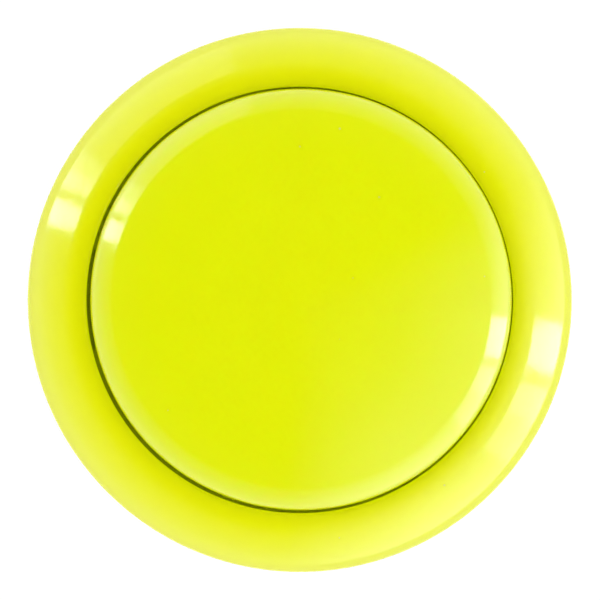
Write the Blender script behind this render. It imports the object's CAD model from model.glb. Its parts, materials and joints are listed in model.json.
"""Looks of a snap-in arcade push button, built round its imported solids.

Sizes in the dataclass fields are millimetres unless a name says otherwise. Meshes are in metres, in the
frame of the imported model: the panel's top face is z = 0 and the button's axis is Z.
"""

import json
import logging
import math
from collections.abc import Sequence
from dataclasses import dataclass, field
from enum import Enum

import bmesh
import bpy
import numpy as np
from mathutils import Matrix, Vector

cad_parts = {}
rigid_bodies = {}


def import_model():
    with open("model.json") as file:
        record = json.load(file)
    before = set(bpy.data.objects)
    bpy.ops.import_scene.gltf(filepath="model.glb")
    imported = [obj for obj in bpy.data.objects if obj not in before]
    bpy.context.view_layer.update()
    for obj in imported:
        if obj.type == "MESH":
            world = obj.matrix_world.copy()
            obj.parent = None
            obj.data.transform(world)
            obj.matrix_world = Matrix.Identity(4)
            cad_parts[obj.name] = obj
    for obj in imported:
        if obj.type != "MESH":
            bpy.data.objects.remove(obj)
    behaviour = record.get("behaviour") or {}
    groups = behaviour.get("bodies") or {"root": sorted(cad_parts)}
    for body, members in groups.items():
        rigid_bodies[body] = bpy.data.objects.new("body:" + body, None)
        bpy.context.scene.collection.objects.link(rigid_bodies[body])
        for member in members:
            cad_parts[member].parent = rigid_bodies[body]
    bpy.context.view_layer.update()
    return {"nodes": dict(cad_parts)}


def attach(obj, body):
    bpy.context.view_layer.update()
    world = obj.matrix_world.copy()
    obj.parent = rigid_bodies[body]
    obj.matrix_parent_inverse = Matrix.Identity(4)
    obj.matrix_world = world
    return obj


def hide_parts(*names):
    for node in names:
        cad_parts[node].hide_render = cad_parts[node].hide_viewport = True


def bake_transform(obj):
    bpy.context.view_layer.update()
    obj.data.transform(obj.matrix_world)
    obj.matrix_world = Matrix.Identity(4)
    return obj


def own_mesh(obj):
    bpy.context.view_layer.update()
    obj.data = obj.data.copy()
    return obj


LOG = logging.getLogger("push_button")
MM = 0.001
MERGE_DISTANCE = 1e-7
SHARP_ANGLE = math.radians(34)

CLOUD_SPREAD = (0.35, 0.7)
NOISE_SPREAD = (0.3, 0.7)

Colour = tuple[float, float, float]
Range = tuple[float, float]
Inputs = dict[str | int, object]


class Slot(Enum):
    """Material slots of the record."""

    YELLOW = "body_yellow"
    BLACK = "switch_black"
    WHITE = "actuator_white"
    STEEL = "spring_steel"
    BRASS = "contact_brass"
    SILVER = "contact_silver"


class Finish(Enum):
    """Finishes of the pieces, of which the rim's and the cap's share a slot."""

    RIM = "rim_yellow"
    CAP = "cap_yellow"
    BLACK = "satin_black"
    WHITE = "smooth_white"
    STEEL = "drawn_steel"
    BRASS = "rolled_brass"
    SILVER = "silver_face"


class Body(Enum):
    """Rigid bodies of the record."""

    HOUSING = "housing"
    PLUNGER = "plunger"
    ACTUATOR = "actuator"
    LEVER = "lever"


class Lay(Enum):
    """How far the lines of a rolled strip or drawn wire repeat along x, y and z, relative to their width."""

    ALONG_X = (0.05, 1.0, 1.0)
    ALONG_Z = (1.0, 1.0, 0.05)
    LEVEL = (0.12, 0.12, 1.0)


class NodeBoard:
    """A node tree that is filled node by node."""

    def __init__(self, tree: bpy.types.NodeTree) -> None:
        """Takes over a tree and empties it.

        Args:
            tree: The tree to fill.
        """
        self.tree = tree
        tree.nodes.clear()

    def feed(self, node: bpy.types.Node, inputs: Inputs) -> None:
        """Sets or links inputs of a node.

        Args:
            node: The node.
            inputs: Values, or output sockets to link, by the name or number of the input.
        """
        for key, value in inputs.items():
            if isinstance(value, bpy.types.NodeSocket):
                self.tree.links.new(value, node.inputs[key])
            else:
                node.inputs[key].default_value = value

    def add(self, kind: str, inputs: Inputs | None = None, **settings: object) -> bpy.types.Node:
        """Adds a node.

        Args:
            kind: The node's type name.
            inputs: Its inputs, as for feed.
            settings: Properties of the node itself, which are set before its inputs.

        Returns:
            The new node.
        """
        node = self.tree.nodes.new(kind)
        for name, value in settings.items():
            setattr(node, name, value)
        self.feed(node, inputs or {})
        return node

    def use(self, group: bpy.types.NodeTree, inputs: Inputs) -> bpy.types.Node:
        """Places a node group.

        Args:
            group: The group.
            inputs: Its inputs, as for feed.

        Returns:
            The group's node.
        """
        return self.add("ShaderNodeGroup", inputs, node_tree=group)

    def math(self, operation: str, first: object, second: object) -> bpy.types.NodeSocket:
        """Adds a Math node.

        Args:
            operation: Name of the operation.
            first: Its first value or socket.
            second: Its second value or socket.

        Returns:
            The node's output.
        """
        return self.add("ShaderNodeMath", {0: first, 1: second}, operation=operation).outputs[0]

    def stretch(self, value: object, given: Range, wanted: Range = (0.0, 1.0)) -> bpy.types.NodeSocket:
        """Adds a clamped Map Range node.

        Args:
            value: The value or socket to map.
            given: The range that it is mapped from.
            wanted: The range that it is mapped to.

        Returns:
            The node's output.
        """
        spread = {0: value, 1: given[0], 2: given[1], 3: wanted[0], 4: wanted[1]}
        return self.add("ShaderNodeMapRange", spread, clamp=True).outputs[0]

    def blend(self, amount: object, first: object, second: object) -> bpy.types.NodeSocket:
        """Adds a colour Mix node.

        Args:
            amount: Share of the second colour.
            first: The first colour or socket.
            second: The second colour or socket.

        Returns:
            The node's colour output.
        """
        mixed = {"Factor": amount, 6: first, 7: second}
        return self.add("ShaderNodeMix", mixed, data_type="RGBA").outputs[2]


def new_material(name: str) -> tuple[bpy.types.Material, NodeBoard]:
    """Makes an empty material.

    Args:
        name: The material's name.

    Returns:
        The material, and the board of its nodes.
    """
    made = bpy.data.materials.new(name)
    made.use_nodes = True
    return made, NodeBoard(made.node_tree)


class Effects:
    """Shader node groups that several finishes share, each built once.

    A pattern's cell has the size that is given to its group. A speck's widths are shares of its cell.
    """

    GRAIN: Inputs = {"Scale": 1.0, "Detail": 2.0, "Roughness": 0.6}
    RIPPLE: Inputs = {"Scale": 2.4, "Detail": 0.0}
    CLOUD: Inputs = {"Scale": 1.0, "Detail": 3.0}
    LINE: Inputs = {"Scale": 1.0, "Detail": 3.0, "Roughness": 0.6}
    PATCH: Inputs = {"Scale": 1.0, "Detail": 4.0, "Roughness": 0.65}
    SPECK_WIDTHS: Range = (0.03, 0.09)
    SETTLED_SLOPES: Range = (0.1, 0.6)

    def __init__(self) -> None:
        """Builds every group."""
        self.grain = self._moulding_grain()
        self.dust = self._settled_dust()
        self.lines = self._drawn_lines()

    @staticmethod
    def _new_group(
        name: str, inputs: dict[str, str], outputs: Sequence[str]
    ) -> tuple[NodeBoard, dict[str, bpy.types.NodeSocket], bpy.types.Node]:
        """Makes an empty node group.

        Args:
            name: The group's name.
            inputs: Socket kind by input name: Vector or Float.
            outputs: Names of the outputs, all plain values.

        Returns:
            The board to fill, the input sockets by name, and the output node.
        """
        tree = bpy.data.node_groups.new(name, "ShaderNodeTree")
        for socket, kind in inputs.items():
            tree.interface.new_socket(name=socket, in_out="INPUT", socket_type=f"NodeSocket{kind}")
        for socket in outputs:
            tree.interface.new_socket(name=socket, in_out="OUTPUT", socket_type="NodeSocketFloat")
        board = NodeBoard(tree)
        entry = board.add("NodeGroupInput")
        return board, {socket: entry.outputs[socket] for socket in inputs}, board.add("NodeGroupOutput")

    @staticmethod
    def _scaled(board: NodeBoard, position: object, size: object) -> bpy.types.NodeSocket:
        """Divides a position by a size, so that a pattern of scale 1 repeats once in that size.

        Args:
            board: The board to add the nodes to.
            position: The position's socket.
            size: The size's socket, in metres.

        Returns:
            The divided position.
        """
        rate = board.math("DIVIDE", 1.0, size)
        return board.add("ShaderNodeVectorMath", {0: position, "Scale": rate}, operation="SCALE").outputs[0]

    def _moulding_grain(self) -> bpy.types.NodeTree:
        """Grain of a moulded face: fine noise for its height, slow noise for its clouding.

        Returns:
            The group, with outputs Height, Ripple and Clouding, each from 0 to 1.
        """
        inputs = {"Position": "Vector", "Grain Size": "Float", "Cloud Size": "Float"}
        board, given, result = self._new_group("moulding_grain", inputs, ("Height", "Ripple", "Clouding"))
        fine = self._scaled(board, given["Position"], given["Grain Size"])
        wide = self._scaled(board, given["Position"], given["Cloud Size"])
        height = board.add("ShaderNodeTexNoise", {"Vector": fine, **self.GRAIN}).outputs[0]
        ripple = board.add("ShaderNodeTexNoise", {"Vector": wide, **self.RIPPLE}).outputs[0]
        cloud = board.add("ShaderNodeTexNoise", {"Vector": wide, **self.CLOUD}).outputs[0]
        board.feed(result, {"Height": height, "Ripple": ripple, "Clouding": cloud})
        return board.tree

    def _settled_dust(self) -> bpy.types.NodeTree:
        """Sparse specks: a dot in some cells of a cell pattern, on faces that look up.

        Returns:
            The group, with output Mask from 0 to 1.
        """
        inputs = {"Position": "Vector", "Spacing": "Float", "Share": "Float", "Facing Up": "Float"}
        board, given, result = self._new_group("settled_dust", inputs, ("Mask",))
        cells = self._scaled(board, given["Position"], given["Spacing"])
        pattern = board.add("ShaderNodeTexVoronoi", {"Vector": cells, "Scale": 1.0})
        chance = board.add("ShaderNodeSeparateColor", {0: pattern.outputs["Color"]})
        chosen = board.math("LESS_THAN", chance.outputs[0], given["Share"])
        width = board.stretch(chance.outputs[1], (0.0, 1.0), self.SPECK_WIDTHS)
        dot = board.math("LESS_THAN", pattern.outputs["Distance"], width)
        speck = board.math("MULTIPLY", chosen, dot)
        settled = board.stretch(given["Facing Up"], self.SETTLED_SLOPES)
        board.feed(result, {"Mask": board.math("MULTIPLY", speck, settled)})
        return board.tree

    def _drawn_lines(self) -> bpy.types.NodeTree:
        """Lines of rolled or drawn metal: noise stretched along the lay, and slow patches of tarnish.

        Returns:
            The group, with outputs Height and Tarnish, each from 0 to 1.
        """
        inputs = {"Position": "Vector", "Lay": "Vector", "Line Size": "Float", "Patch Size": "Float"}
        board, given, result = self._new_group("drawn_lines", inputs, ("Height", "Tarnish"))
        along = {0: given["Position"], 1: given["Lay"]}
        laid = board.add("ShaderNodeVectorMath", along, operation="MULTIPLY").outputs[0]
        fine = self._scaled(board, laid, given["Line Size"])
        wide = self._scaled(board, given["Position"], given["Patch Size"])
        height = board.add("ShaderNodeTexNoise", {"Vector": fine, **self.LINE}).outputs[0]
        patch = board.add("ShaderNodeTexNoise", {"Vector": wide, **self.PATCH}).outputs[0]
        board.feed(result, {"Height": height, "Tarnish": patch})
        return board.tree


@dataclass(frozen=True)
class MouldedPlastic:
    """A moulded plastic: a colour with faint clouding, a grained skin and a few specks of dust.

    Light goes into it for translucency's share, as far as glow_depth times glow_reach of each colour.
    """

    finish: Finish
    slot: Slot
    colour: Colour
    clouded: Colour
    roughness: float
    roughness_swing: float
    grain_size: float
    grain_depth: float
    ripple_depth: float
    cloud_size: float
    dust_share: float
    index: float = 1.5
    translucency: float = 0.0
    glow_depth: float = 0.7
    glow_reach: Colour = (1.0, 0.85, 0.08)
    dust_colour: Colour = (0.62, 0.6, 0.55)
    dust_spacing: float = 0.8
    dust_cover: float = 0.35
    dust_roughness: float = 0.5

    def material(self, effects: Effects) -> bpy.types.Material:
        """Makes the material.

        Args:
            effects: The shared node groups.

        Returns:
            A material on Object coordinates.
        """
        made, board = new_material(self.finish.value)
        place = board.add("ShaderNodeTexCoord")
        position = place.outputs["Object"]
        facing = board.add("ShaderNodeSeparateXYZ", {0: place.outputs["Normal"]}).outputs[2]
        grain = board.use(
            effects.grain,
            {"Position": position, "Grain Size": self.grain_size * MM, "Cloud Size": self.cloud_size * MM},
        )
        dust = board.use(
            effects.dust,
            {
                "Position": position,
                "Spacing": self.dust_spacing * MM,
                "Share": self.dust_share,
                "Facing Up": facing,
            },
        ).outputs["Mask"]
        clouding = board.stretch(grain.outputs["Clouding"], CLOUD_SPREAD)
        skin = board.blend(clouding, (*self.colour, 1.0), (*self.clouded, 1.0))
        dusted = board.math("MULTIPLY", dust, self.dust_cover)
        colour = board.blend(dusted, skin, (*self.dust_colour, 1.0))
        swing = (self.roughness - self.roughness_swing, self.roughness + self.roughness_swing)
        gloss = board.stretch(grain.outputs["Height"], NOISE_SPREAD, swing)
        roughness = board.math("ADD", gloss, board.math("MULTIPLY", dust, self.dust_roughness))
        fine = board.math("MULTIPLY", grain.outputs["Height"], self.grain_depth * MM)
        slow = board.math("MULTIPLY", grain.outputs["Ripple"], self.ripple_depth * MM)
        height = board.math("ADD", fine, slow)
        normal = board.add("ShaderNodeBump", {"Strength": 1.0, "Distance": 1.0, "Height": height})
        shader = board.add(
            "ShaderNodeBsdfPrincipled",
            {
                "Base Color": colour,
                "Roughness": roughness,
                "IOR": self.index,
                "Subsurface Weight": self.translucency,
                "Subsurface Radius": self.glow_reach,
                "Subsurface Scale": self.glow_depth * MM,
                "Normal": normal.outputs[0],
            },
        )
        board.add("ShaderNodeOutputMaterial", {"Surface": shader.outputs[0]})
        return made


@dataclass(frozen=True)
class BareMetal:
    """A bare metal: drawn or rolled lines and patches of light tarnish."""

    finish: Finish
    slot: Slot
    colour: Colour
    tarnished: Colour
    tarnish: float
    roughness: float
    roughness_swing: float
    lay: Lay
    line_size: float
    line_depth: float
    patch_size: float = 2.2
    patch_spread: Range = (0.45, 0.75)
    tarnish_roughness: float = 0.25

    def material(self, effects: Effects) -> bpy.types.Material:
        """Makes the material.

        Args:
            effects: The shared node groups.

        Returns:
            A material on Object coordinates.
        """
        made, board = new_material(self.finish.value)
        position = board.add("ShaderNodeTexCoord").outputs["Object"]
        lines = board.use(
            effects.lines,
            {
                "Position": position,
                "Lay": self.lay.value,
                "Line Size": self.line_size * MM,
                "Patch Size": self.patch_size * MM,
            },
        )
        patch = board.stretch(lines.outputs["Tarnish"], self.patch_spread, (0.0, self.tarnish))
        colour = board.blend(patch, (*self.colour, 1.0), (*self.tarnished, 1.0))
        swing = (self.roughness - self.roughness_swing, self.roughness + self.roughness_swing)
        brushed = board.stretch(lines.outputs["Height"], NOISE_SPREAD, swing)
        roughness = board.math("ADD", brushed, board.math("MULTIPLY", patch, self.tarnish_roughness))
        height = board.math("MULTIPLY", lines.outputs["Height"], self.line_depth * MM)
        normal = board.add("ShaderNodeBump", {"Strength": 1.0, "Distance": 1.0, "Height": height})
        shader = board.add(
            "ShaderNodeBsdfPrincipled",
            {"Base Color": colour, "Metallic": 1.0, "Roughness": roughness, "Normal": normal.outputs[0]},
        )
        board.add("ShaderNodeOutputMaterial", {"Surface": shader.outputs[0]})
        return made


FINISHES = (
    MouldedPlastic(
        finish=Finish.RIM,
        slot=Slot.YELLOW,
        colour=(0.864, 0.984, 0.0),
        clouded=(0.854, 0.977, 0.0),
        roughness=0.09,
        roughness_swing=0.025,
        grain_size=0.16,
        grain_depth=0.0006,
        ripple_depth=0.006,
        cloud_size=3.0,
        dust_share=0.05,
        index=1.62,
        translucency=1.0,
        glow_depth=3.8,
        glow_reach=(0.7, 0.75, 0.06),
    ),
    MouldedPlastic(
        finish=Finish.CAP,
        slot=Slot.YELLOW,
        colour=(0.815, 0.895, 0.0),
        clouded=(0.805, 0.888, 0.0),
        roughness=0.09,
        roughness_swing=0.025,
        grain_size=0.16,
        grain_depth=0.0006,
        ripple_depth=0.006,
        cloud_size=3.0,
        dust_share=0.05,
        index=1.62,
        translucency=0.8,
        glow_depth=0.8,
        glow_reach=(0.8, 1.0, 0.06),
    ),
    MouldedPlastic(
        finish=Finish.BLACK,
        slot=Slot.BLACK,
        colour=(0.012, 0.012, 0.013),
        clouded=(0.018, 0.018, 0.019),
        roughness=0.42,
        roughness_swing=0.08,
        grain_size=0.14,
        grain_depth=0.006,
        ripple_depth=0.0,
        cloud_size=2.0,
        dust_share=0.1,
    ),
    MouldedPlastic(
        finish=Finish.WHITE,
        slot=Slot.WHITE,
        colour=(0.76, 0.74, 0.68),
        clouded=(0.7, 0.68, 0.61),
        roughness=0.34,
        roughness_swing=0.06,
        grain_size=0.18,
        grain_depth=0.003,
        ripple_depth=0.0,
        cloud_size=1.5,
        dust_share=0.06,
    ),
    BareMetal(
        finish=Finish.STEEL,
        slot=Slot.STEEL,
        colour=(0.6, 0.6, 0.58),
        tarnished=(0.36, 0.34, 0.31),
        tarnish=0.5,
        roughness=0.26,
        roughness_swing=0.07,
        lay=Lay.LEVEL,
        line_size=0.05,
        line_depth=0.0015,
    ),
    BareMetal(
        finish=Finish.BRASS,
        slot=Slot.BRASS,
        colour=(0.78, 0.58, 0.26),
        tarnished=(0.45, 0.29, 0.12),
        tarnish=0.6,
        roughness=0.27,
        roughness_swing=0.08,
        lay=Lay.ALONG_Z,
        line_size=0.06,
        line_depth=0.0012,
    ),
    BareMetal(
        finish=Finish.SILVER,
        slot=Slot.SILVER,
        colour=(0.86, 0.85, 0.81),
        tarnished=(0.5, 0.46, 0.38),
        tarnish=0.45,
        roughness=0.22,
        roughness_swing=0.06,
        lay=Lay.ALONG_X,
        line_size=0.05,
        line_depth=0.0008,
    ),
)


@dataclass(frozen=True)
class Dressing:
    """A finish's material, and the slot that it fills."""

    material: bpy.types.Material
    slot: Slot


def arc(centre: tuple[float, float], radius: float, start: float, end: float, steps: int) -> np.ndarray:
    """Points of an arc in a section: radius out = sine of the angle, height = its cosine.

    Args:
        centre: Distance from the axis, and height, of the arc's centre.
        radius: The arc's radius.
        start: First angle from straight up, in degrees, growing outwards.
        end: Last angle.
        steps: Number of pieces.

    Returns:
        Array of steps + 1 rows of distance from the axis and height.
    """
    turn = np.radians(np.linspace(start, end, steps + 1))
    return np.column_stack([centre[0] + radius * np.sin(turn), centre[1] + radius * np.cos(turn)])


def run(start: tuple[float, float], end: tuple[float, float], steps: int = 1) -> np.ndarray:
    """Evenly spaced points of a straight run in a section.

    Args:
        start: Distance from the axis, and height, of the first point.
        end: The same of the last point.
        steps: Number of pieces.

    Returns:
        Array of steps + 1 rows of distance from the axis and height.
    """
    return np.linspace(start, end, steps + 1)


def ring_quads(rows: int, columns: int) -> np.ndarray:
    """Corner numbers of a grid that closes on itself along its columns.

    The cell at row i and column j joins points (i, j), (i, j+1), (i+1, j+1) and (i+1, j), with j+1 taken
    round to 0 after the last column and i+1 taken round to 0 after the last row.

    Args:
        rows: Number of rows of points.
        columns: Number of points in a row.

    Returns:
        Array of rows by columns by 4 point numbers.
    """
    row, column = np.meshgrid(np.arange(rows), np.arange(columns), indexing="ij")
    first, second = row * columns, (row + 1) % rows * columns
    beside = (column + 1) % columns
    return np.stack([first + column, first + beside, second + beside, second + column], axis=-1)


@dataclass
class Surface:
    """Points and faces of a piece that is being put together, in millimetres."""

    points: np.ndarray = field(default_factory=lambda: np.zeros((0, 3)))
    quads: np.ndarray = field(default_factory=lambda: np.zeros((0, 4), int))

    def join(self, points: np.ndarray, quads: np.ndarray) -> None:
        """Adds another closed surface.

        Args:
            points: Its points, as rows of x, y and z.
            quads: Its faces, as rows of four point numbers.
        """
        self.quads = np.vstack([self.quads, quads.reshape(-1, 4) + len(self.points)])
        self.points = np.vstack([self.points, points.reshape(-1, 3)])

    def join_tube(self, rings: np.ndarray) -> None:
        """Adds a closed tube: a ring of points carried along a path, its end rings drawn in to their middles.

        Args:
            rings: Array of stations by ring points by 3.
        """
        first = np.broadcast_to(rings[0].mean(axis=0), rings[0].shape)
        last = np.broadcast_to(rings[-1].mean(axis=0), rings[-1].shape)
        closed = np.concatenate([first[None], rings, last[None]])
        self.join(closed, ring_quads(closed.shape[0], closed.shape[1])[:-1])

    def piece(self, name: str) -> bpy.types.Object:
        """Makes a mesh object of the surface, with doubles merged and faces turned outwards.

        Args:
            name: The piece's name.

        Returns:
            The object, at the origin.
        """
        mesh = bpy.data.meshes.new(name)
        mesh.from_pydata((self.points * MM).tolist(), [], self.quads.tolist())
        return tidy_piece(name, mesh)


def tidy_piece(name: str, mesh: bpy.types.Mesh) -> bpy.types.Object:
    """Merges a mesh's doubles, turns its faces outwards, shades it smooth between sharp edges and links it.

    Args:
        name: The piece's name.
        mesh: Its mesh, in metres.

    Returns:
        The object, at the origin.
    """
    work = bmesh.new()
    work.from_mesh(mesh)
    bmesh.ops.remove_doubles(work, verts=work.verts, dist=MERGE_DISTANCE)
    bmesh.ops.dissolve_degenerate(work, edges=work.edges, dist=MERGE_DISTANCE)
    bmesh.ops.recalc_face_normals(work, faces=work.faces)
    work.to_mesh(mesh)
    work.free()
    mesh.polygons.foreach_set("use_smooth", np.ones(len(mesh.polygons), bool))
    mesh.set_sharp_from_angle(angle=SHARP_ANGLE)
    piece = bpy.data.objects.new(name, mesh)
    bpy.context.scene.collection.objects.link(piece)
    return piece


def stand_for(
    piece: bpy.types.Object, node: str, body: Body | None, finish: Finish, materials: dict[Finish, Dressing]
) -> None:
    """Dresses a new piece and puts it in a node's place.

    Args:
        piece: The new piece.
        node: The node that it stands for.
        body: The body that it moves with, or None for a piece that bends between two.
        finish: Its finish.
        materials: The materials by finish.
    """
    piece.data.materials.clear()
    piece.data.materials.append(materials[finish].material)
    if body is not None:
        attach(piece, body.value)
    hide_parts(node)
    LOG.info("%s stands for %s, %d faces", piece.name, node, len(piece.data.polygons))


@dataclass(frozen=True)
class Columns:
    """Columns of points round a turned piece, which keep to the straight sides of its openings.

    Near the X axis an opening's side is a line at a fixed distance from that axis, so at radius r its angle
    is the arcsine of distance / r. Near the Y axis it is a right angle less that. The angles are mirrored
    into the other three quarters, and the columns between two of them are evenly spread.
    """

    beside_x: tuple[float, ...]
    beside_y: tuple[float, ...]
    least_radius: float
    step_deg: float = 1.25

    def _turns(self, radius: np.ndarray) -> np.ndarray:
        """Angles of the opening sides all the way round.

        Args:
            radius: Array of radii.

        Returns:
            Array of angles by the shape of radius, in rising order, the first one repeated a turn on.
        """
        reach = np.maximum(radius, self.least_radius)
        near_x = [np.arcsin(distance / reach) for distance in self.beside_x]
        near_y = [np.pi / 2 - np.arcsin(distance / reach) for distance in self.beside_y]
        quarter = np.stack(near_x + near_y)
        half = np.concatenate([quarter, np.pi - quarter[::-1]])
        return np.concatenate([half, np.pi + half, 2 * np.pi + quarter[:1]])

    def _spread(self) -> tuple[np.ndarray, np.ndarray]:
        """Places of the columns between the opening sides.

        Returns:
            Interval number, and share of the interval, for each column.
        """
        turns = self._turns(np.array(self.least_radius))
        counts = np.ceil(np.degrees(np.diff(turns)) / self.step_deg).astype(int)
        interval = np.repeat(np.arange(len(counts)), counts)
        place = np.arange(len(interval)) - np.repeat(np.cumsum(counts) - counts, counts)
        return interval, place / counts[interval]

    def count(self) -> int:
        """Number of columns."""
        return len(self._spread()[0])

    def angles(self, radius: np.ndarray) -> np.ndarray:
        """Angle of every column at the radius of every point.

        Args:
            radius: Array of rows by columns.

        Returns:
            Angles in radians, in the same shape.
        """
        interval, share = self._spread()
        turns = self._turns(radius)
        pick = np.broadcast_to(interval, (1, *radius.shape))
        low = np.take_along_axis(turns, pick, axis=0)[0]
        high = np.take_along_axis(turns, pick + 1, axis=0)[0]
        return low + share * (high - low)

    def cell_middles(self) -> tuple[np.ndarray, np.ndarray]:
        """Places of the middles of the cells at the least radius.

        Returns:
            Distance of each middle from the Y axis, and from the X axis.
        """
        turn = self.angles(np.full((1, self.count()), self.least_radius))[0]
        middle = (turn + np.append(turn[1:], turn[0] + 2 * np.pi)) / 2
        return np.abs(self.least_radius * np.cos(middle)), np.abs(self.least_radius * np.sin(middle))


@dataclass
class PiercedTurning:
    """A turned moulding whose wall has openings.

    Its section is one closed loop: over the top from the inner wall to the outer, down the outer wall, round
    the bottom and up the inner wall. The two walls have the same heights, so a cell left out of both is an
    opening, whose sides are faces between the walls. A point is at radius times cosine of the angle, radius
    times sine of the angle, and height.

    Attributes:
        columns: The columns of points.
        top: Rows of radius and height over the top.
        heights: Heights of both walls' rows, downwards.
        outer: Radii of the outer wall, rows by columns.
        inner: Radii of the inner wall, rows by columns.
        bottom_radius: Radii round the bottom, rows by columns.
        bottom_height: Heights round the bottom.
        opened: True for each cell of the walls that is open.
        bottom_opened: True for each column whose bottom is open.
    """

    columns: Columns
    top: np.ndarray
    heights: np.ndarray
    outer: np.ndarray
    inner: np.ndarray
    bottom_radius: np.ndarray
    bottom_height: np.ndarray
    opened: np.ndarray
    bottom_opened: np.ndarray

    def add_to(self, surface: Surface) -> None:
        """Works out the points and faces.

        Args:
            surface: The surface to add them to.
        """
        count, walls, over = self.columns.count(), len(self.heights), len(self.top)
        across = np.ones((1, count))
        level = self.heights[:, None] * across
        radius = np.concatenate([self.top[:, :1] * across, self.outer, self.bottom_radius, self.inner[::-1]])
        height = np.concatenate(
            [self.top[:, 1:] * across, level, self.bottom_height[:, None] * across, level[::-1]]
        )
        turn = self.columns.angles(radius)
        points = np.stack([radius * np.cos(turn), radius * np.sin(turn), height], axis=-1)
        quads = ring_quads(len(radius), count)
        kept = np.ones(quads.shape[:2], bool)
        on_axis = (radius[:, 0] == 0) & (np.roll(radius[:, 0], -1) == 0)
        kept[on_axis] = False
        under = len(self.bottom_radius)
        kept[over : over + walls - 1] = ~self.opened
        kept[over + walls - 1 : over + walls + under] = ~self.bottom_opened
        kept[over + walls + under : over + 2 * walls + under - 1] = ~self.opened[::-1]
        surface.join(points, np.vstack([quads[kept], self._reveals(over, walls, under, count)]))

    def _reveals(self, over: int, walls: int, under: int, count: int) -> np.ndarray:
        """Faces of the openings' sides.

        Args:
            over: Number of rows over the top.
            walls: Number of rows in a wall.
            under: Number of rows round the bottom.
            count: Number of columns.

        Returns:
            Quads from the outer wall to the inner one, wherever an open cell meets a closed one.
        """
        row, column = np.meshgrid(np.arange(walls), np.arange(count), indexing="ij")
        outside = (over + row) * count + column
        inside = (over + 2 * walls + under - 1 - row) * count + column
        beside = np.roll(self.opened, 1, axis=1) != self.opened
        upright = np.stack([outside[:-1], outside[1:], inside[1:], inside[:-1]], axis=-1)[beside]
        closed = np.zeros((1, count), bool)
        above = np.vstack([closed, self.opened])
        below = np.vstack([self.opened, self.bottom_opened[None]])
        next_out, next_in = np.roll(outside, -1, axis=1), np.roll(inside, -1, axis=1)
        flat = np.stack([outside, next_out, next_in, inside], axis=-1)[above != below]
        return np.vstack([upright, flat])


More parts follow.
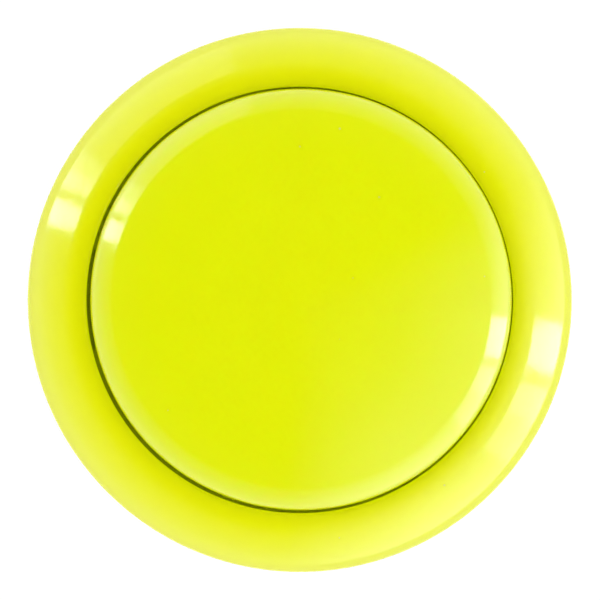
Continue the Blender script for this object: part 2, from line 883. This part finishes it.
@dataclass
class Housing:
    """Rim, barrel with snap tongues and hook windows, and floor, in one moulding."""

    bore_radius: float = 12.98
    barrel_radius: float = 14.8
    rim_radius: float = 16.65
    rim_height: float = 3.0
    crown_radius: float = 4.565
    bore_edge_round: float = 0.15
    rim_edge_round: float = 0.5
    seat_edge_round: float = 0.15
    bore_start: float = 0.4
    seat_step: float = 0.4
    foot_chamfer: float = 0.5
    slot_half_width: float = 4.9
    tongue_half_width: float = 4.0
    slot_top: float = -1.7
    tongue_top: float = -2.6
    barb_peak: float = -4.4
    barb_foot: float = -12.5
    tongue_root: float = -13.5
    barb_top_reach: float = 0.35
    barb_reach: float = 1.1
    window_half_width: float = 3.25
    window_top: float = -9.0
    window_bottom: float = -14.95
    floor_top: float = -16.4
    bottom: float = -18.0
    opening_half_length: float = 10.1
    opening_half_width: float = 5.1
    opening_round: float = 0.8

    def _rim_section(self) -> np.ndarray:
        """Section over the rim: up the bore, over the crown's arc, down the side and in under the seat.

        Returns:
            Rows of radius and height. The crown is level at the bore. Each edge round lies inside the crown's
            arc, its centre found from its distance to the crown's centre.
        """
        bore, crown = self.bore_radius, self.crown_radius
        crown_z = self.rim_height - crown
        inner_z = crown_z + math.sqrt((crown - self.bore_edge_round) ** 2 - self.bore_edge_round**2)
        inner_tilt = math.degrees(math.atan2(self.bore_edge_round, inner_z - crown_z))
        edge_r = self.rim_radius - self.rim_edge_round
        edge_z = crown_z + math.sqrt((crown - self.rim_edge_round) ** 2 - (edge_r - bore) ** 2)
        edge_tilt = math.degrees(math.atan2(edge_r - bore, edge_z - crown_z))
        seat_r = self.rim_radius - self.seat_edge_round
        return np.vstack(
            [
                run((bore, self.bore_start), (bore, inner_z), 4)[:-1],
                arc((bore + self.bore_edge_round, inner_z), self.bore_edge_round, -90, inner_tilt, 8)[:-1],
                arc((bore, crown_z), crown, inner_tilt, edge_tilt, 40)[:-1],
                arc((edge_r, edge_z), self.rim_edge_round, edge_tilt, 90, 10),
                arc((seat_r, self.seat_edge_round), self.seat_edge_round, 90, 180, 5),
                run((seat_r - self.seat_step, 0), (self.barrel_radius, 0)),
            ]
        )

    def _barb_radius(self, heights: np.ndarray) -> np.ndarray:
        """Outer radius of a tongue: straight from its top to the barb's peak, and from there to its foot.

        Args:
            heights: Array of heights.

        Returns:
            The radius at each height, which above the tongue is the barrel's.
        """
        depths = (-self.tongue_top, -self.barb_peak, -self.barb_foot)
        reach = np.interp(-heights, depths, (self.barb_top_reach, self.barb_reach, 0))
        return self.barrel_radius + np.where(heights <= self.tongue_top, reach, 0)

    def _floor_reach(self, turn: np.ndarray) -> np.ndarray:
        """Distance from the axis to the floor's rounded rectangular opening, in each direction.

        Args:
            turn: Directions, as angles in radians.

        Returns:
            The lesser of the distances to the opening's straight sides, or to the corner's arc where the ray
            meets that.
        """
        along, across = np.abs(np.cos(turn)), np.abs(np.sin(turn))
        length, width, corner = self.opening_half_length, self.opening_half_width, self.opening_round
        square = 1 / np.maximum(along / length, across / width)
        towards = along * (length - corner) + across * (width - corner)
        spare = towards**2 - (length - corner) ** 2 - (width - corner) ** 2 + corner**2
        rounded = towards + np.sqrt(np.maximum(spare, 0))
        in_corner = (square * along > length - corner) & (square * across > width - corner)
        return np.where(in_corner, rounded, square)

    def build(self, materials: dict[Finish, Dressing]) -> None:
        """Builds the moulding and puts it in the housing node's place.

        Args:
            materials: The materials by finish.
        """
        columns = Columns(
            (self.window_half_width,), (self.slot_half_width, self.tongue_half_width), self.bore_radius
        )
        count = columns.count()
        across = np.ones((1, count))
        marks = (self.slot_top, self.tongue_top, self.barb_peak, self.window_top, self.barb_foot)
        heights = np.array([*marks, self.tongue_root, self.window_bottom])
        from_y_axis, from_x_axis = columns.cell_middles()
        in_tongue, in_slot = from_y_axis < self.tongue_half_width, from_y_axis < self.slot_half_width
        in_window = from_x_axis < self.window_half_width
        top, bottom = heights[:-1, None], heights[1:, None]
        slotted = in_slot & (top <= self.slot_top) & (bottom >= self.tongue_root)
        tongue = in_tongue & (top <= self.tongue_top)
        windowed = in_window & (top <= self.window_top) & (bottom >= self.window_bottom)
        tongue_point = in_tongue | np.roll(in_tongue, 1)
        outer = np.where(tongue_point, self._barb_radius(heights)[:, None], self.barrel_radius)
        turn = columns.angles(self.bore_radius * across)
        opening = self._floor_reach(turn)
        bottom_radius = np.concatenate(
            [
                self.barrel_radius * across,
                (self.barrel_radius - self.foot_chamfer) * across,
                opening,
                opening,
                self.bore_radius * across,
            ]
        )
        foot = self.bottom + self.foot_chamfer
        surface = Surface()
        PiercedTurning(
            columns=columns,
            top=self._rim_section(),
            heights=heights,
            outer=outer,
            inner=self.bore_radius * np.ones((len(heights), count)),
            bottom_radius=bottom_radius,
            bottom_height=np.array([foot, self.bottom, self.bottom, self.floor_top, self.floor_top]),
            opened=(slotted & ~tongue) | windowed,
            bottom_opened=np.zeros(count, bool),
        ).add_to(surface)
        stand_for(surface.piece("housing_moulding"), "housing", Body.HOUSING, Finish.RIM, materials)


@dataclass
class Plunger:
    """Domed cap, guide band round its skirt, cross ribs, push boss and two hooked legs, in one moulding."""

    radius: float = 12.81
    top: float = 6.0
    wall: float = 1.66
    dome_radius: float = 50.0
    shoulder_round: float = 2.6
    edge_round: float = 0.8
    edge_tilt_deg: float = 42.0
    hollow_round: float = 0.6
    skirt_bottom: float = -2.4
    skirt_margin: float = 0.6
    band_radius: float = 12.88
    band_top: float = 1.7
    seam_half_width: float = 1.0
    leg_half_width: float = 3.0
    leg_bottom: float = -11.65
    hook_top: float = -9.05
    hook_ledge: float = 0.9
    hook_radius: float = 14.2
    boss_radius: float = 3.4
    boss_bottom: float = -2.2
    boss_top: float = 5.1
    boss_edge_round: float = 0.25
    boss_columns: int = 72
    rib_half_thickness: float = 0.5
    rib_bottom: float = 1.0
    rib_half_length: float = 11.9
    rib_stations: int = 25
    glow_line: float = 3.4
    play: tuple[float, float] = (0.082, 0.032)

    def _cap_section(self) -> np.ndarray:
        """Section over the cap: up inside the skirt, in under the dome, and out over it to the skirt's wall.

        Returns:
            Rows of radius and height. Both domes have the same centre. The shoulder is a wide arc that
            touches the dome and then a tighter one that touches the wall, with one tangent where they meet.
        """
        centre = self.top - self.dome_radius
        hollow, inside = self.radius - self.wall, self.dome_radius - self.wall
        inner_r = hollow - self.hollow_round
        inner_z = math.sqrt((inside - self.hollow_round) ** 2 - inner_r**2)
        inner_tilt = math.degrees(math.atan2(inner_r, inner_z))
        lean = math.radians(self.edge_tilt_deg)
        step = self.shoulder_round - self.edge_round
        edge_r = self.radius - self.edge_round
        outer_r = edge_r - step * math.sin(lean)
        outer_z = math.sqrt((self.dome_radius - self.shoulder_round) ** 2 - outer_r**2)
        edge_z = outer_z + step * math.cos(lean)
        outer_tilt = math.degrees(math.atan2(outer_r, outer_z))
        skirt_z = self.skirt_bottom + self.skirt_margin
        band_z = self.band_top - self.band_radius + self.radius
        shoulder = (outer_r, centre + outer_z)
        return np.vstack(
            [
                run((hollow, skirt_z), (hollow, centre + inner_z), 2)[:-1],
                arc((inner_r, centre + inner_z), self.hollow_round, 90, inner_tilt, 6)[:-1],
                arc((0, centre), inside, inner_tilt, 0, 14),
                arc((0, centre), self.dome_radius, 0, outer_tilt, 40)[:-1],
                arc(shoulder, self.shoulder_round, outer_tilt, self.edge_tilt_deg, 20)[:-1],
                arc((edge_r, centre + edge_z), self.edge_round, self.edge_tilt_deg, 90, 14),
                run((self.radius, self.band_top), (self.band_radius, band_z))[:-1],
                run((self.band_radius, band_z), (self.band_radius, skirt_z), 2),
            ]
        )

    def _under_dome(self, distance: np.ndarray) -> np.ndarray:
        """Height of the middle of the cap's thickness: that of a sphere between the two domes.

        Args:
            distance: Array of distances from the axis.

        Returns:
            The height at each distance.
        """
        middle = self.dome_radius - self.wall / 2
        return self.top - self.dome_radius + np.sqrt(middle**2 - distance**2)

    def _add_boss(self, surface: Surface) -> None:
        """Adds the push boss: circles of points up the axis, the lowest ones drawn in to round its edge.

        Args:
            surface: The surface to add it to.
        """
        turn = np.linspace(0, 2 * np.pi, self.boss_columns, endpoint=False)
        edge = self.boss_edge_round
        section = np.vstack(
            [
                arc((self.boss_radius - edge, self.boss_bottom + edge), edge, 180, 90, 5)[:-1],
                run((self.boss_radius, self.boss_bottom + edge), (self.boss_radius, self.boss_top), 3),
            ]
        )
        radius, height = section[:, :1], section[:, 1:]
        surface.join_tube(
            np.stack([radius * np.cos(turn), radius * np.sin(turn), height + 0 * turn], axis=-1)
        )

    def _add_ribs(self, surface: Surface) -> None:
        """Adds two crossed ribs: an upright rectangle carried across the cap, its top inside the dome's wall.

        Args:
            surface: The surface to add them to.
        """
        along = np.linspace(-self.rib_half_length, self.rib_half_length, self.rib_stations)[:, None]
        side = self.rib_half_thickness * np.array([[-1.0, 1.0, 1.0, -1.0]])
        low = np.full_like(along, self.rib_bottom)
        high = self._under_dome(along)
        height = np.hstack([low, low, high, high])
        first, second = along + 0 * side, side + 0 * along
        surface.join_tube(np.stack([first, second, height], axis=-1))
        surface.join_tube(np.stack([second, first, height], axis=-1))

    def build(self, materials: dict[Finish, Dressing]) -> None:
        """Builds the moulding and puts it in the plunger node's place, to one side by its play in the bore.

        Args:
            materials: The materials by finish.
        """
        hollow = self.radius - self.wall
        columns = Columns((self.leg_half_width,), (self.seam_half_width,), hollow)
        count = columns.count()
        across = np.ones((1, count))
        skirt, ledge, toe = self.skirt_bottom, self.hook_top, self.hook_top - self.hook_ledge
        heights = np.array([skirt, skirt, ledge, ledge, toe, self.leg_bottom])
        reach = np.array(
            [self.band_radius, self.radius, self.radius, self.hook_radius, self.hook_radius, self.radius]
        )
        in_leg = columns.cell_middles()[1] < self.leg_half_width
        surface = Surface()
        PiercedTurning(
            columns=columns,
            top=self._cap_section(),
            heights=heights,
            outer=reach[:, None] * across,
            inner=hollow * np.ones((len(heights), count)),
            bottom_radius=np.zeros((0, count)),
            bottom_height=np.zeros(0),
            opened=np.broadcast_to(~in_leg, (len(heights) - 1, count)),
            bottom_opened=~in_leg,
        ).add_to(surface)
        self._add_boss(surface)
        self._add_ribs(surface)
        surface.points = surface.points + np.array([*self.play, 0.0])
        piece = surface.piece("plunger_moulding")
        stand_for(piece, "plunger", Body.PLUNGER, Finish.CAP, materials)
        self._dress_skirt(piece, materials)

    def _dress_skirt(self, piece: bpy.types.Object, materials: dict[Finish, Dressing]) -> None:
        """Gives the skirt and legs the rim's finish, whose deeper glow lights the gap.

        Args:
            piece: The moulding, dressed in the cap's finish.
            materials: The materials by finish.
        """
        faces = piece.data.polygons
        piece.data.materials.append(materials[Finish.RIM].material)
        middles = np.zeros(3 * len(faces), np.float32)
        faces.foreach_get("center", middles)
        faces.foreach_set("material_index", (middles[2::3] < self.glow_line * MM).astype(np.int32))


@dataclass
class ReturnSpring:
    """Compression coil between the switch cover and the actuator's head, its last turns closed flat."""

    radius: float = 3.65
    wire: float = 0.45
    turns: float = 4.5
    bottom: float = -9.0
    top: float = -3.4
    end_ease: float = 0.44
    stations: int = 421
    ring_points: int = 16
    pressed_share: float = 3.2 / 5.6

    def build(self, materials: dict[Finish, Dressing]) -> None:
        """Builds the coil: a circle of wire carried up a helix whose pitch eases out at both ends.

        The height's share is the helix's share less end_ease times the sine of a turn times that share, over
        a turn. A point of the wire is the helix's point, plus the wire's radius times a turn between the
        outward direction and the direction at right angles to it and to the helix.

        Args:
            materials: The materials by finish.
        """
        share = np.linspace(0, 1, self.stations)
        turn = 2 * np.pi * self.turns * share
        eased = share - self.end_ease * np.sin(2 * np.pi * share) / (2 * np.pi)
        low, high = self.bottom + self.wire / 2, self.top - self.wire / 2
        level = low + (high - low) * np.clip(eased, 0, 1)
        outward = np.stack([np.cos(turn), np.sin(turn), 0 * turn], axis=-1)
        path = self.radius * outward + np.stack([0 * turn, 0 * turn, level], axis=-1)
        along = np.gradient(path, axis=0)
        along /= np.linalg.norm(along, axis=1, keepdims=True)
        upward = np.cross(along, outward)
        around = np.linspace(0, 2 * np.pi, self.ring_points, endpoint=False)[:, None]
        rings = path[:, None] + self.wire / 2 * (
            np.cos(around) * outward[:, None] + np.sin(around) * upward[:, None]
        )
        surface = Surface()
        surface.join_tube(rings)
        piece = surface.piece("return_coil")
        stand_for(piece, "return_spring", Body.HOUSING, Finish.STEEL, materials)
        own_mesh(piece)


@dataclass
class SwitchUnit:
    """Switch case, cover, actuator, lever, contacts, terminals and snap spring."""

    blade_hook: tuple[float, float, float] = (-1.1, 0.0, -14.2)
    lever_hook: tuple[float, float, float] = (6.007, 0.0, -14.652)
    lever_hook_place: float = 0.43
    finishes: dict[str, Finish] = field(
        default_factory=lambda: {
            "switch_case": Finish.BLACK,
            "switch_cover": Finish.BLACK,
            "switch_actuator": Finish.WHITE,
            "contact_lever": Finish.BRASS,
            "moving_contact": Finish.SILVER,
            "fixed_contact": Finish.SILVER,
            "common_terminal": Finish.BRASS,
            "open_terminal": Finish.BRASS,
        }
    )

    def dress(self, nodes: dict[str, bpy.types.Object], materials: dict[Finish, Dressing]) -> None:
        """Gives each rigid node of the switch its material.

        Args:
            nodes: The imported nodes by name.
            materials: The materials by finish.
        """
        for name, finish in self.finishes.items():
            nodes[name].data.materials.clear()
            nodes[name].data.materials.append(materials[finish].material)
            LOG.info("%s keeps its solid, in %s", name, finish.value)

    def build_snap_spring(
        self, nodes: dict[str, bpy.types.Object], materials: dict[Finish, Dressing]
    ) -> None:
        """Puts a merged, smooth copy of the snap spring in its place, which bends with the actuator.

        The end on the blade goes all the way with the actuator. The end on the lever goes as far as the
        lever's hole does, because it lies at lever_hook_place of the stretch over which the bend sets in.

        Args:
            nodes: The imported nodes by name.
            materials: The materials by finish.
        """
        piece = tidy_piece("snap_coil", nodes["snap_spring"].data.copy())
        stand_for(piece, "snap_spring", None, Finish.STEEL, materials)
        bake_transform(piece)


@dataclass(frozen=True)
class WindowPane:
    """An upright pane of light that faces the button and shows only in its reflections."""

    name: str
    azimuth_deg: float
    width_deg: float
    radiance: float
    low_deg: float = 1.0
    high_deg: float = 53.0
    distance: float = 500.0

    def build(self) -> None:
        """Builds the lamp: an upright area between two elevations, of power pi times radiance times area."""
        turn = math.radians(self.azimuth_deg)
        bearing = Vector((math.cos(turn), math.sin(turn), 0.0))
        reach = self.distance * MM
        low, high = (reach * math.tan(math.radians(angle)) for angle in (self.low_deg, self.high_deg))
        lamp = bpy.data.lights.new(self.name, "AREA")
        lamp.shape = "RECTANGLE"
        lamp.size = 2 * reach * math.tan(math.radians(self.width_deg / 2))
        lamp.size_y = high - low
        lamp.energy = math.pi * self.radiance * lamp.size * lamp.size_y
        holder = bpy.data.objects.new(self.name, lamp)
        holder.location = bearing * reach + Vector((0.0, 0.0, (low + high) / 2))
        holder.rotation_euler = (-bearing).to_track_quat("-Z", "Y").to_euler()
        holder.visible_camera = False
        holder.visible_diffuse = False
        bpy.context.scene.collection.objects.link(holder)
        LOG.info("lamp %s: %.2f W", self.name, lamp.energy)


@dataclass(frozen=True)
class Softbox:
    """A square lamp above the button and to one side, which faces it and shows in no reflection."""

    name: str
    azimuth_deg: float
    tilt_deg: float
    half_angle_deg: float
    level: float
    distance: float = 900.0

    def build(self) -> None:
        """Builds the lamp, of the power at which it alone makes a white face about as bright as its level.

        The light on a face that looks at the lamp is radiance times area over distance squared, which is pi
        times the level. The power is pi times radiance times area, so it is pi squared times the level times
        distance squared.
        """
        turn, tilt = math.radians(self.azimuth_deg), math.radians(self.tilt_deg)
        towards = Vector((math.sin(tilt) * math.cos(turn), math.sin(tilt) * math.sin(turn), math.cos(tilt)))
        reach = self.distance * MM
        lamp = bpy.data.lights.new(self.name, "AREA")
        lamp.size = 2 * reach * math.tan(math.radians(self.half_angle_deg))
        lamp.energy = math.pi**2 * self.level * reach**2
        holder = bpy.data.objects.new(self.name, lamp)
        holder.location = towards * reach
        holder.rotation_euler = (-towards).to_track_quat("-Z", "Y").to_euler()
        holder.visible_camera = False
        holder.visible_glossy = False
        bpy.context.scene.collection.objects.link(holder)
        LOG.info("lamp %s: %.2f W", self.name, lamp.energy)


@dataclass
class Studio:
    """Pale floor, white room, window panes in the reflections, soft lamp overhead and camera looking down.

    A ramp's rows are a sine of the elevation and the light there, which is at most room_peak.
    """

    floor_height: float = -28.5
    floor_half_side: float = 1500.0
    floor_white: float = 0.9
    floor_lit: float = 0.8
    floor_shaded: float = 0.16
    camera_height: float = 401.0
    camera_side: tuple[float, float] = (0.016, -0.003)
    focal_length: float = 392.4
    sensor_width: float = 36.0
    panes: tuple[WindowPane, ...] = (
        WindowPane("left_window", azimuth_deg=160.15, width_deg=5.9, radiance=8.0),
        WindowPane("left_upper_pane", azimuth_deg=152.6, width_deg=4.2, radiance=2.6),
        WindowPane("left_near_haze", azimuth_deg=150.1, width_deg=9.2, radiance=1.5),
        WindowPane("left_far_haze", azimuth_deg=130.0, width_deg=49.5, radiance=0.6),
        WindowPane("right_window", azimuth_deg=-11.0, width_deg=11.2, radiance=8.0),
        WindowPane("right_lower_pane", azimuth_deg=-23.8, width_deg=8.2, radiance=3.6),
        WindowPane("right_haze", azimuth_deg=-33.0, width_deg=10.0, radiance=1.8),
    )
    overhead: Softbox = Softbox(
        "overhead", azimuth_deg=-20.0, tilt_deg=9.0, half_angle_deg=24.0, level=0.51
    )
    room_peak: float = 4.0
    soft_light: tuple[tuple[float, float], ...] = (
        (0.0, 0.5),
        (0.5, 0.58),
        (0.8, 0.66),
        (1.0, 0.75),
    )
    room: tuple[tuple[float, float], ...] = (
        (0.0, 1.8),
        (0.24, 1.35),
        (0.485, 0.9),
        (0.635, 0.62),
        (0.73, 0.5),
        (0.86, 0.13),
        (0.92, 0.02),
        (1.0, 0.01),
    )
    bright_side: tuple[tuple[float, float], ...] = (
        (0.0, 3.6),
        (0.2, 3.4),
        (0.5, 2.85),
        (0.73, 2.0),
        (0.89, 1.0),
        (0.96, 0.28),
        (1.0, 0.05),
    )
    bright_azimuth_deg: float = -33.0
    bright_half_angle_deg: tuple[float, float] = (60.0, 25.0)

    def build(self) -> None:
        """Builds the floor, the room, the lamps and the camera."""
        self._build_floor()
        self._build_room()
        self.overhead.build()
        for pane in self.panes:
            pane.build()
        self._build_camera()
        bpy.context.scene.view_settings.view_transform = "Standard"

    def _build_floor(self) -> None:
        """Builds the floor: a flat square, white where it is seen, with the shadow, and clear from below."""
        side = self.floor_half_side * np.array([[-1.0, -1.0], [1.0, -1.0], [1.0, 1.0], [-1.0, 1.0]])
        points = np.column_stack([side, np.full(4, self.floor_height)])
        mesh = bpy.data.meshes.new("floor")
        mesh.from_pydata((points * MM).tolist(), [], [(0, 1, 2, 3)])
        floor = bpy.data.objects.new("floor", mesh)
        bpy.context.scene.collection.objects.link(floor)
        paint, board = new_material("pale_floor")
        ray = board.add("ShaderNodeLightPath")
        seen = board.math("MAXIMUM", ray.outputs["Is Camera Ray"], ray.outputs["Is Glossy Ray"])
        seen = board.math("MAXIMUM", seen, ray.outputs["Is Transmission Ray"])
        lit = board.add("ShaderNodeBsdfDiffuse", {"Color": (*(3 * (self.floor_lit,)), 1.0)})
        shaded = board.add("ShaderNodeBsdfDiffuse", {"Color": (*(3 * (self.floor_shaded,)), 1.0)})
        ground = board.add(
            "ShaderNodeMixShader",
            {0: ray.outputs["Is Camera Ray"], 1: lit.outputs[0], 2: shaded.outputs[0]},
        )
        white = board.math("MULTIPLY", seen, self.floor_white)
        glow = board.add("ShaderNodeEmission", {"Color": (1.0, 1.0, 1.0, 1.0), "Strength": white})
        face = board.add("ShaderNodeAddShader", {0: ground.outputs[0], 1: glow.outputs[0]})
        clear = board.add("ShaderNodeBsdfTransparent")
        under = board.add("ShaderNodeNewGeometry").outputs["Backfacing"]
        mix = board.add("ShaderNodeMixShader", {0: under, 1: face.outputs[0], 2: clear.outputs[0]})
        board.add("ShaderNodeOutputMaterial", {"Surface": mix.outputs[0]})
        mesh.materials.append(paint)

    def _build_room(self) -> None:
        """Builds the room: white where it is seen, a soft light that grows upwards, and a mirrored room.

        The mirrored room is two ramps over the sine of the elevation, one for its brighter side. The share of
        the brighter side grows with the cosine of the angle between a direction's level part and the middle
        of that side.
        """
        world = bpy.data.worlds.new("room")
        world.use_nodes = True
        bpy.context.scene.world = world
        board = NodeBoard(world.node_tree)
        direction = board.add("ShaderNodeTexCoord").outputs["Generated"]
        parts = board.add("ShaderNodeSeparateXYZ", {0: direction})
        level = board.add("ShaderNodeCombineXYZ", {0: parts.outputs[0], 1: parts.outputs[1]})
        bearing = board.add("ShaderNodeVectorMath", {0: level.outputs[0]}, operation="NORMALIZE")
        middle = math.radians(self.bright_azimuth_deg)
        towards = {0: bearing.outputs[0], 1: (math.cos(middle), math.sin(middle), 0.0)}
        nearness = board.add("ShaderNodeVectorMath", towards, operation="DOT_PRODUCT").outputs["Value"]
        edge, full = (math.cos(math.radians(angle)) for angle in self.bright_half_angle_deg)
        share = board.stretch(nearness, (edge, full))
        plain = self._ramp(board, parts.outputs[2], self.room)
        bright = self._ramp(board, parts.outputs[2], self.bright_side)
        mirrored = board.add(
            "ShaderNodeBackground", {"Color": board.blend(share, plain, bright), "Strength": self.room_peak}
        )
        overhead = self._ramp(board, parts.outputs[2], self.soft_light)
        soft = board.add("ShaderNodeBackground", {"Color": overhead, "Strength": self.room_peak})
        white = board.add("ShaderNodeBackground", {"Color": (1.0, 1.0, 1.0, 1.0), "Strength": 1.0})
        ray = board.add("ShaderNodeLightPath")
        light = board.add(
            "ShaderNodeMixShader",
            {0: ray.outputs["Is Glossy Ray"], 1: soft.outputs[0], 2: mirrored.outputs[0]},
        )
        shown = board.add(
            "ShaderNodeMixShader",
            {0: ray.outputs["Is Camera Ray"], 1: light.outputs[0], 2: white.outputs[0]},
        )
        board.add("ShaderNodeOutputWorld", {"Surface": shown.outputs[0]})

    def _ramp(
        self, board: NodeBoard, rise: bpy.types.NodeSocket, levels: Sequence[tuple[float, float]]
    ) -> bpy.types.NodeSocket:
        """Adds a grey ramp.

        Args:
            board: The board to add it to.
            rise: The value that runs along the ramp.
            levels: Places along the ramp, and the light there, of which room_peak is the most.

        Returns:
            The ramp's colour, in shares of room_peak.
        """
        ramp = board.add("ShaderNodeValToRGB", {0: rise})
        stops = ramp.color_ramp.elements
        while len(stops) < len(levels):
            stops.new(0.5)
        for stop, (place, light) in zip(stops, levels, strict=True):
            stop.position = place
            stop.color = (*(3 * (light / self.room_peak,)), 1.0)
        return ramp.outputs[0]

    def _build_camera(self) -> None:
        """Builds the camera, straight above the button, with +X to the right and +Y up in the picture."""
        lens = bpy.data.cameras.new("camera")
        lens.sensor_width = self.sensor_width
        lens.lens = self.focal_length
        camera = bpy.data.objects.new("camera", lens)
        camera.location = (self.camera_side[0] * MM, self.camera_side[1] * MM, self.camera_height * MM)
        bpy.context.scene.collection.objects.link(camera)
        bpy.context.scene.camera = camera


def main() -> None:
    """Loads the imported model, builds and dresses every piece, sets up the studio and notes the sizes."""
    logging.basicConfig(level=logging.INFO, format="%(name)s: %(message)s")
    for leftover in list(bpy.data.objects):
        bpy.data.objects.remove(leftover)
    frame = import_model()
    effects = Effects()
    materials = {look.finish: Dressing(look.material(effects), look.slot) for look in FINISHES}
    Housing().build(materials)
    Plunger().build(materials)
    ReturnSpring().build(materials)
    switch = SwitchUnit()
    switch.dress(frame["nodes"], materials)
    switch.build_snap_spring(frame["nodes"], materials)
    Studio().build()


if __name__ == "__main__":
    main()
